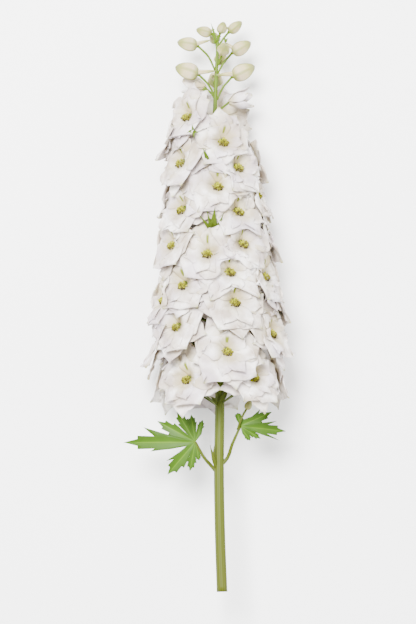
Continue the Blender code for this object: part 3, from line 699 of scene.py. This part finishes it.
def stem_material():
    """Plant skin with a thin wax coat: satin, with lines along its length and a colour for its age."""
    material = new_material("stem_waxy_skin", 0.45)
    y = add(material, "ShaderNodeSeparateXYZ", {0: add(material, **PLACE)}, output=1)
    height = add(material, MATHS, {0: y, 1: 1000 / STEM_TIP, 2: 0.5}, operation="MULTIPLY_ADD")
    base = add(material, RAMP, {0: height}, STEM_GREENS)
    across, _ = surface_uv(material)
    lines = stripes(material, across, STEM_LINES)
    line_share = add(material, MATHS, {0: lines, 1: 0.3}, **TIMES)
    base = add(material, MIX, {0: line_share, 6: base, 7: "#5B6716"}, **COLOURS)
    # Darker blotches of about 8 mm.
    blotch_share = add(material, MATHS, {0: cloud(material, 120), 1: 0.3}, **TIMES)
    base = add(material, MIX, {0: blotch_share, 6: base, 7: "#35440E"}, **COLOURS)
    shade(material, base, lines, bump_mm=0.2, strength=0.4)
    return material


stem_skin = stem_material()
print("stem material:", stem_skin.name)

# %% Where the buds and the bracts are
STALK_RISE = ((213, 30), (350, 26), (480, 18), (505, 14))
# (name, foot of its stalk, base, tip, radius, end of its spur), each place as near_stem takes it
BUDS = (
    ("bud_top_left", (2, 548, 0), (-1, 557.5, 2), (-17, 562, 3), 5.6, (1.5, 562.5, -1)),
    ("bud_top", (4, 550, 1), (7, 557.5, 5), (11, 569, 10), 5.2, (4, 562, -2)),
    ("bud_top_right", (6, 546, 0), (15.5, 559, 1), (29, 570, 3), 5.4, (11, 564.5, 1)),
    ("bud_left", (2, 521, 0), (-15, 545, 4), (-36, 549, 6), 7.2, (-3, 551, 5)),
    ("bud_centre", (5, 526, 2), (10, 539, 10), (11.5, 543, 25), 6.4, (12, 549, 3)),
    ("bud_right", (5, 518, 0), (19, 538, 2), (38, 549, 5), 7.2, (12, 549, -3)),
    ("bud_low_left", (2, 494, 0), (-14, 516, 3), (-38, 524, 5), 8.8, (3, 520, 5)),
    ("bud_low_right", (4, 491, 0), (19, 514, 1), (42, 525, 4), 8.6, (3, 515.5, 7)),
    ("bud_back_top", (4, 540, -2), (3, 550, -9), (0, 560, -20), 5.6, (8, 556, -5)),
    ("bud_back", (3, 520, -2), (6, 531, -13), (10, 539, -29), 6.6, (5, 538, -6)),
    ("bud_back_low", (3, 497, -2), (2, 509, -15), (3, 518, -33), 7.8, (0, 517, -7)),
)
# (foot, middle, tip, width). The last four are the fan of long bracts in the middle of the spike. They start
# among the sepals and stand well up, because the florets would hide them, and the real ones show.
BRACTS = (
    ((12.5, 549, 1), (12, 552, 3), (11, 554, 4), 2.0),
    ((12.5, 549, 1), (14, 552, 3), (15, 553, 4), 2.0),
    ((-9.5, 503, 3), (-8.5, 500, 4), (-7, 496, 5), 2.2),
    ((-20, 455, 40), (-20, 459, 45), (-21, 464, 47), 2.6),
    ((-20, 457, 41), (-23, 457, 45), (-26, 455, 46), 2.2),
    ((-20, 457, 41), (-17, 456, 46), (-14, 455, 48), 2.4),
    ((-20, 458, 41), (-19, 454, 46), (-19, 450, 48), 2.2),
    ((-6, 428, 44), (-8, 434, 50), (-10, 440, 52), 2.2),
    ((-4, 427, 44), (-6, 432, 50), (-8, 438, 52), 2.2),
    ((0, 463, 8), (-3, 470, 16), (-6, 476, 20), 2.0),
    ((6, 186, 4), (12, 196, 7), (16, 205, 8), 4.5),
    ((4, 187, 4), (0, 192, 7), (-3, 194, 9), 3.5),
    ((3, 122, 3), (0, 134, 8), (-3, 146, 10), 3.4),
    ((3, 124, 3), (1, 138, 7), (2, 149, 8), 2.4),
    ((3, 548, 1), (0, 562, 4), (-2, 568, 5), 2.4),
    ((1, 356, 36), (0.5, 366, 51), (2, 382, 62), 6.6),
    ((0, 356, 36), (-6, 364, 51), (-14, 374, 58), 3.6),
    ((0, 356, 36), (-3, 365, 51), (-6, 378, 60), 3.4),
    ((2, 356, 36), (6, 365, 51), (11, 376, 59), 3.4),
)
print("buds:", len(BUDS), "bracts:", len(BRACTS))

# %% The stem, its stalks and its bracts
STEM_RIDGE = 0.03
STEM_RIDGES = 8
BRACT_THICKNESS = 0.4
# How far along the stem the base and the tip of a half-open floret are from its station.
HALF_OPEN_LEAN = (-2, 3)


def half_open_ends(name):
    _, bearing, station, base, length = next(row for row in HALF_OPEN_FLORETS if row[0] == name)
    turn = math.radians(bearing)
    base_lean, tip_lean = HALF_OPEN_LEAN
    return round_stem(turn, station + base_lean, base), round_stem(turn, station + tip_lean, base + length)


def stalk_of(bm, floret):
    """A floret's stalk, which widens into the seat of its petals."""
    outward = Vector((math.sin(floret.bearing), 0, math.cos(floret.bearing)))
    rise = along(STALK_RISE, floret.station)
    foot = axis_point(floret.station - rise)
    throat = on_spike(floret, (0, 0, -8.8))
    middle = foot.lerp(throat, 0.55) + Vector((0, -0.05 * rise, 0)) + outward * 0.04 * rise
    tube(bm, smooth_path((foot, middle, throat)), lambda v: 1.15 - 0.25 * math.sin(math.pi * v), 10, 10)
    seat = [throat, on_spike(floret, (0, 0, -7.6)), on_spike(floret, (0, 0, -6.4))]
    tube(bm, smooth_path(seat), lambda v: 1.2 + 1.1 * math.sin(1.7 * v), 10, 4)


def bud_stalk(bm, foot, base, tip):
    """A bud's stalk, which widens as it runs into the bud."""
    ahead = (tip - base).normalized()
    middle = foot.lerp(base, 0.6) - ahead * 0.12 * (base - foot).length
    tube(bm, smooth_path((foot, middle, base)), lambda v: 0.95 + 0.2 * v, 10, 10)
    tube(bm, smooth_path((base - ahead, base + 2.6 * ahead)), lambda v: 1.2 + 1.3 * v, 12, 4)


def bract(bm, foot, middle, tip, width):
    """A small leaf, folded a little along its middle."""
    path = smooth_path((foot, middle, tip))
    side = (tip - foot).cross(Vector((0, 0, 1))).normalized()

    def place(u, v):
        lean = 2 * u - 1
        spread = width / 2 * (0.25 + 0.75 * math.sin(math.pi * min(1, v * 1.1) ** 0.8)) * (1 - v**4) + 0.1
        return path(v) + side * lean * spread + Vector((0, 0, 0.5 * abs(lean) * spread))

    shaped_grid(bm, 4, 10, place)


bm = bmesh.new()
tube(
    bm, lambda v: axis_point(STEM_TIP * v), lambda v: along(STEM_RADIUS, STEM_TIP * v), 32, 110,
    STEM_RIDGE, STEM_RIDGES,
)
for floret in florets:
    if floret.is_open:
        stalk_of(bm, floret)
    else:
        rise = along(STALK_RISE, floret.station)
        bud_stalk(bm, axis_point(floret.station - rise), *half_open_ends(floret.name))
for _, foot, base, tip, _, _ in BUDS:
    bud_stalk(bm, *map(near_stem, (foot, base, tip)))
new_piece("stem_and_stalks", bm, stem_skin, ["stem"], weld=True)

bm = bmesh.new()
for foot, middle, tip, width in BRACTS:
    bract(bm, near_stem(foot), near_stem(middle), near_stem(tip), width)
new_piece("bracts", bm, stem_skin, ["stem"], thickness=BRACT_THICKNESS)
print("stalks:", len(florets) + len(BUDS))

# %% [markdown]
# A bud is its five sepals still closed over each other. Ribs run from base to tip where the sepals' middles
# are, greener than the cream between them, and the tip and the base are green too. A spur, the hollow tail of
# the upper sepal, leaves each bud near its base.

# %% The buds' material
BUD_RIBS = 5
BUD_LINES = 40
BUD_SCATTER_DEPTH = 1.5 * MM
BUD_COLOURS = (
    (0.0, "#43540C"), (0.12, "#76822A"), (0.3, "#BFB191"), (0.6, "#B8AD7C"), (0.8, "#7F8830"), (1.0, "#47580B"),
)


def bud_material():
    """Closed sepals: cream, soft, with green ribs and tips. A tone of 1 is the youngest and greenest."""
    material = new_material("bud_closed_sepals", 0.5)
    shader = material.node_tree.nodes["Principled BSDF"]
    shader.inputs["Subsurface Weight"].default_value = 0.2
    shader.inputs["Subsurface Scale"].default_value = BUD_SCATTER_DEPTH
    across, up = surface_uv(material)
    base = add(material, RAMP, {0: up}, BUD_COLOURS)
    ribs = stripes(material, across, BUD_RIBS, "COSINE")
    rib_line = add(material, RAMP, {0: ribs}, ((0.8, 0.0), (1.0, 1.0)))
    rib_share = add(material, MATHS, {0: rib_line, 1: 0.75}, **TIMES)
    base = add(material, MIX, {0: rib_share, 6: base, 7: "#6B7A1C"}, **COLOURS)
    youth = add(material, MATHS, {0: add(material, **TONE), 1: 1.3}, **TIMES)
    base = add(material, MIX, {0: youth, 6: base, 7: "#68721E"}, **COLOURS)
    # Patches of about 11 mm with a warm blush.
    blush = add(material, MATHS, {0: cloud(material, 90), 1: 0.35}, **TIMES)
    base = add(material, MIX, {0: blush, 6: base, 7: "#B9A295"}, **COLOURS)
    shade(material, base, stripes(material, across, BUD_LINES), bump_mm=0.15, strength=0.4)
    return material


closed_sepals = bud_material()
print("bud material:", closed_sepals.name)

# %% Buds
BUD_GAP = 0.4
LARGEST_BUD = 9.0
BUD_GRID = (40, 18)
BUD_RIDGE = 0.06


def bud_profile(v):
    """The share of a bud's width at a share of its length."""
    return max(0.0, math.sin(math.pi * min(1.0, v) ** 0.8)) ** 0.56 * (1 - 0.12 * v) + 0.02


def place_bud(bm, base, tip, radius, youth):
    tube(
        bm, lambda v: base.lerp(tip, v), lambda v: radius * bud_profile(v), *BUD_GRID,
        BUD_RIDGE, BUD_RIBS, youth,
    )


def place_spur(bm, base, tip, radius, spur_end):
    start = base.lerp(tip, 0.28)
    bow = start.lerp(spur_end, 0.5) + (spur_end - start).cross(tip - base).normalized() * 0.6
    tube(bm, smooth_path((start, bow, spur_end)), lambda v: radius * 0.32 * (1 - v) ** 0.6 + 0.35, 10, 8)


for name, _, base, tip, radius, spur_end in BUDS:
    bm = bmesh.new()
    base, tip, spur_end = near_stem(base), near_stem(tip), near_stem(spur_end)
    base = base + (tip - base).normalized() * BUD_GAP
    place_bud(bm, base, tip, radius, youth=1 - radius / LARGEST_BUD)
    place_spur(bm, base, tip, radius, spur_end)
    new_piece(name + "_sepals", bm, closed_sepals, [name], weld=True)
print("buds:", len(BUDS))

# %% [markdown]
# Two florets are half open. Their sepals have let go of each other at the tips and stand round the inner
# petals like a bell, greener at the base than an open floret.

# %% Half-open florets
BELL_FOOT = 2.6
BELL_MOUTH = 9.6
BELL_INNER_MOUTH = 5.0
half_white = petal_material("petal_opening_tissue", green_tip=True)


def half_open_floret(name):
    base, tip = half_open_ends(name)
    path = (tip - base).normalized()
    base = base + path * BUD_GAP
    length = (tip - base).length
    side = path.cross(Vector((0, 1, 0))).normalized()
    up = side.cross(path)
    rng = np.random.default_rng(len(name))
    bm = bmesh.new()

    def sepal(bearing, reach, mouth, half_turn, wave_phase):
        def place(u, v):
            lean = 2 * u - 1
            swell = math.sin(0.5 * math.pi * min(1.0, v * 1.5))
            radius = BELL_FOOT + (mouth - BELL_FOOT) * swell + 1.2 * max(0, v - 0.8) * 5
            turn = bearing + lean * half_turn * petal_width(v, 0.2)
            wave = 0.5 * lean * lean * math.sin(wave_phase + 6 * v) + 0.35 * lean
            out = side * math.sin(turn) + up * math.cos(turn)
            return base + path * length * reach * v + out * (radius + wave)

        shaped_grid(bm, 8, 12, place)

    for k in range(PETALS):
        sepal(k * math.tau / PETALS, rng.uniform(0.95, 1.02), BELL_MOUTH, math.radians(44), rng.uniform(0, 6))
    for k in range(PETALS):
        bearing = (k + 0.5) * math.tau / PETALS
        sepal(bearing, rng.uniform(0.7, 0.8), BELL_INNER_MOUTH, math.radians(46), rng.uniform(0, 6))
    new_piece(name + "_petals", bm, half_white, [name], SEPAL_THICKNESS)


for name, *_ in HALF_OPEN_FLORETS:
    half_open_floret(name)
print("half-open florets:", len(HALF_OPEN_FLORETS))

# %% [markdown]
# The leaves are cut nearly to the stalk into lobes, and each lobe is toothed. A leaf is grown here as a
# small hub, with each lobe extruded from it row by row and each tooth pulled out of an edge. Subdividing
# then rounds it. The tone of a point is 0 on a lobe's midrib and 1 at its edge, which draws the pale veins.

# %% Leaf material
# Leaf skin under a thin wax: satin, dark between pale veins, with lighter blotches of about 7 mm and a skin
# that is uneven by about 2 mm.
LEAF_GREENS = ((0.0, "#586D1E"), (0.07, "#41600F"), (0.18, "#335208"), (1.0, "#2A4506"))
leaf_skin = new_material("leaf_blade_skin", 0.5)
leaf_base = add(leaf_skin, RAMP, {0: add(leaf_skin, **TONE)}, LEAF_GREENS)
blotch_share = add(leaf_skin, MATHS, {0: cloud(leaf_skin, 150), 1: 0.35}, **TIMES)
leaf_base = add(leaf_skin, MIX, {0: blotch_share, 6: leaf_base, 7: "#49680F"}, **COLOURS)
shade(leaf_skin, leaf_base, cloud(leaf_skin, 500), bump_mm=0.3, strength=0.35)
print("leaf material:", leaf_skin.name)

# %% The leaves' measures
# A lobe is (its tip, its half width, its longest teeth), in millimetres from where the leaf joins its stalk.
LEAVES = (
    dict(
        name="leaf_left",
        petiole=((-2.0, 125, 0), (-8, 132, 5), (-17.6, 148.8, 8)),
        lobes=(
            ((7.3, 21.8), 2.1, ()),
            ((-4.2, 27.3), 2.6, ()),
            ((-18.7, 30.9), 3.4, ()),
            ((-38.1, 20.6), 3.8, ()),
            ((-72.1, -1.2), 5.4, ((-52.1, 14.5), (-44.8, -9.7))),
            ((-27.8, -32.7), 4.6, ((-29.0, -19.0),)),
            ((-5.4, -29.1), 2.8, ()),
            ((3.6, -18.2), 1.8, ()),
        ),
        hub=8.5,
    ),
    dict(
        name="leaf_right",
        petiole=((14.2, 132.4, 0), (19, 146, 5), (27.3, 164.5, 8)),
        lobes=(
            ((9.7, -14.5), 1.9, ()),
            ((20.0, -12.5), 2.0, ()),
            ((45.5, -5.4), 3.8, ((36.4, 5.0), (39.0, -14.5))),
            ((31.5, 14.0), 3.4, ((20.0, 17.0),)),
            ((-3.0, 13.0), 2.2, ()),
        ),
        hub=6.5,
    ),
)
# The rows of a lobe, as (share of its length, share of its half width).
LOBE_ROWS = ((0.2, 1.25), (0.48, 1.15), (0.76, 0.65))
FIRST_ROW, TOOTHED_ROW = LOBE_ROWS[0][0], LOBE_ROWS[1][0]
TOOTH_REACH = 0.6
HUB_SIZE = 1.45
PETIOLE_DROP = 9
LEAF_DROOP = 0.0035
LEAF_FOLD = 1.2
LEAF_THICKNESS = 0.45
print("lobes:", [len(leaf["lobes"]) for leaf in LEAVES])

# %% Growing a leaf
def extrude_row(bm, row, places, tones):
    """Extrudes the edges of a row of vertices and moves the new row to the places given."""
    tone = bm.verts.layers.float["tone"]
    edges = [bm.edges.get(pair) for pair in zip(row, row[1:])]
    made = bmesh.ops.extrude_edge_only(bm, edges=edges)["geom"]
    fresh = [part for part in made if isinstance(part, bmesh.types.BMVert)]
    next_row = [next(vert for vert in fresh if bm.edges.get((old, vert))) for old in row]
    for vert, place, value in zip(next_row, places, tones):
        vert.co = place
        vert[tone] = value
    return next_row


def close_tip(bm, row, tip, value):
    """Extrudes a row and draws it together in one point."""
    last = extrude_row(bm, row, [tip] * len(row), [value] * len(row))
    bmesh.ops.pointmerge(bm, verts=list(dict.fromkeys(last)), merge_co=tip)


def grow_leaf(name, petiole, lobes, hub):
    junction = near_stem(petiole[-1])
    hub *= HUB_SIZE

    def blade_point(right, up, lift=0.0):
        return junction + Vector((right, up, lift - LEAF_DROOP * (right**2 + up**2)))

    bearings = [math.atan2(tip[1], tip[0]) for tip, _, _ in lobes]
    gaps = [(b - a) % math.tau for a, b in zip(bearings, bearings[1:])]
    sinuses = [bearings[0] - 0.35, *(a + gap / 2 for a, gap in zip(bearings, gaps)), bearings[-1] + 0.35]
    bm = bmesh.new()
    tone = bm.verts.layers.float.new("tone")
    row = []
    for k, sinus in enumerate(sinuses):
        place = blade_point(0.8 * hub * math.cos(sinus), 0.8 * hub * math.sin(sinus), LEAF_FOLD / 2)
        row.append(bmesh.ops.create_vert(bm, co=place)["vert"][0])
        row[-1][tone] = 1.0
        if k < len(bearings):
            place = blade_point(hub * math.cos(bearings[k]), hub * math.sin(bearings[k]))
            row.append(bmesh.ops.create_vert(bm, co=place)["vert"][0])
    for pair in zip(row, row[1:]):
        bmesh.ops.contextual_create(bm, geom=pair)
    close_tip(bm, row, blade_point(0, 0), 0.0)
    for k, (tip, half_width, forks) in enumerate(lobes):
        length = math.hypot(*tip)
        ahead = Vector((tip[0], tip[1])) / length
        aside = Vector((-ahead.y, ahead.x))
        lobe_row = row[2 * k:2 * k + 3]
        for share, wide in LOBE_ROWS:
            middle = ahead * (hub + (length - hub) * share)
            points = [middle + aside * half_width * wide * side for side in (-1, 0, 1)]
            places = [blade_point(*point, LEAF_FOLD * abs(side)) for point, side in zip(points, (-1, 0, 1))]
            fresh = extrude_row(bm, lobe_row, places, (1.0, 0.0, 1.0))
            if share > FIRST_ROW:
                for side, inner, outer in ((-1, lobe_row[0], fresh[0]), (1, lobe_row[2], fresh[2])):
                    long_teeth = [Vector(fork) for fork in forks if aside.dot(Vector(fork)) * side > 0]
                    tooth = middle + aside * side * half_width * (wide + TOOTH_REACH)
                    if long_teeth and share == TOOTHED_ROW:
                        tooth = long_teeth[0]
                    close_tip(bm, [inner, outer], blade_point(*tooth, LEAF_FOLD + 0.6), 1.0)
            lobe_row = fresh
        close_tip(bm, lobe_row, blade_point(*tip, LEAF_FOLD / 2), 0.5)
    bmesh.ops.subdivide_edges(bm, edges=bm.edges, cuts=3, smooth=0.2, use_grid_fill=True)
    new_piece(name + "_blade", bm, leaf_skin, [name], thickness=LEAF_THICKNESS)

    bm = bmesh.new()
    foot, middle, _ = (near_stem(point) for point in petiole)
    root = axis_point(foot.y - PETIOLE_DROP)
    joint = junction + Vector((0, 0, -0.6))
    tube(bm, smooth_path((root, foot, middle, joint)), lambda v: 2.1 - 0.9 * v, 12, 16)
    new_piece(name + "_petiole", bm, stem_skin, [name], weld=True)


for leaf in LEAVES:
    grow_leaf(**leaf)
print("leaves:", len(LEAVES))

# %% [markdown]
# A side shoot starts where the right leaf joins its stalk, with one small green bud at its end. It is made
# with the same two helpers as the other stalks and buds.

# %% The side shoot
SIDE_SHOOT = ((24.5, 161, 8), (27, 169, 12), (30, 176, 12), (33, 181, 11))
SIDE_BUD_TIP = (37.5, 190, 10)
SIDE_BUD_RADIUS = 3.8
bm = bmesh.new()
shoot = [near_stem(point) for point in SIDE_SHOOT]
tube(bm, smooth_path(shoot), lambda v: 1.25 - 0.2 * v, 10, 12)
new_piece("side_shoot_stalk", bm, stem_skin, ["side_shoot"], weld=True)
bm = bmesh.new()
place_bud(bm, shoot[-1], near_stem(SIDE_BUD_TIP), SIDE_BUD_RADIUS, youth=1.0)
new_piece("side_shoot_bud", bm, closed_sepals, ["side_shoot"], weld=True)
print("side shoot:", round((shoot[-1] - shoot[0]).length, 1), "mm long")

# %% [markdown]
# The spike lies on a plain pale floor under large soft lights, as in a bright product photograph. The camera
# is high above it and looks straight down through a long lens, which shows the spike as if it stood upright.

# %% The floor
# Matt paint on a board: no gloss and nearly white, so only a soft shadow shows on it.
FLOOR_SIZE = 6
FLOOR_DROP = 0.0002
floor_paint = new_material("floor_matt_paint", 0.9)
shade(floor_paint, add(floor_paint, RAMP, {0: cloud(floor_paint, 2)}, ((0.4, "#FAFAFA"), (0.6, "#FDFDFD"))))
bpy.ops.mesh.primitive_plane_add(size=FLOOR_SIZE, location=(0, 0, -FLOOR_DROP))
floor = bpy.context.object
floor.name = "floor"
floor.data.materials.append(floor_paint)
print("floor:", FLOOR_SIZE, "m square")

# %% The camera
VIEW_CENTRE = Vector((-5.0, 278.0, -20.0))
VIEW_HEIGHT = 0.624
CAMERA_HEIGHT = 3.2
SENSOR = 36.0

target = (VIEW_CENTRE - ORIGIN) * MM
camera_data = bpy.data.cameras.new("camera")
camera = bpy.data.objects.new("camera", camera_data)
bpy.context.scene.collection.objects.link(camera)
camera.location = (target.x, target.y, target.z + CAMERA_HEIGHT)
camera.rotation_euler = (0, 0, 0)
camera_data.sensor_width = SENSOR
camera_data.lens = SENSOR * CAMERA_HEIGHT / VIEW_HEIGHT
bpy.context.scene.camera = camera
print("camera lens:", round(camera_data.lens), "mm")

# %% The lights
SKY_STRENGTH = 1.7
world = bpy.data.worlds.new("studio")
world.use_nodes = True
world.node_tree.nodes["Background"].inputs["Color"].default_value = (1, 1, 1, 1)
world.node_tree.nodes["Background"].inputs["Strength"].default_value = SKY_STRENGTH
bpy.context.scene.world = world


def soft_light(name, location, size, power):
    data = bpy.data.lights.new(name, "AREA")
    data.shape = "DISK"
    data.size = size
    data.energy = power
    light = bpy.data.objects.new(name, data)
    bpy.context.scene.collection.objects.link(light)
    light.location = location
    light.rotation_euler = (-Vector(location)).to_track_quat("-Z", "Y").to_euler()


soft_light("key", (-0.5, 0.9, 2.3), size=1.1, power=290)
soft_light("fill", (1.4, -0.3, 1.6), size=1.8, power=30)
print("lights:", [light.name for light in bpy.data.lights])
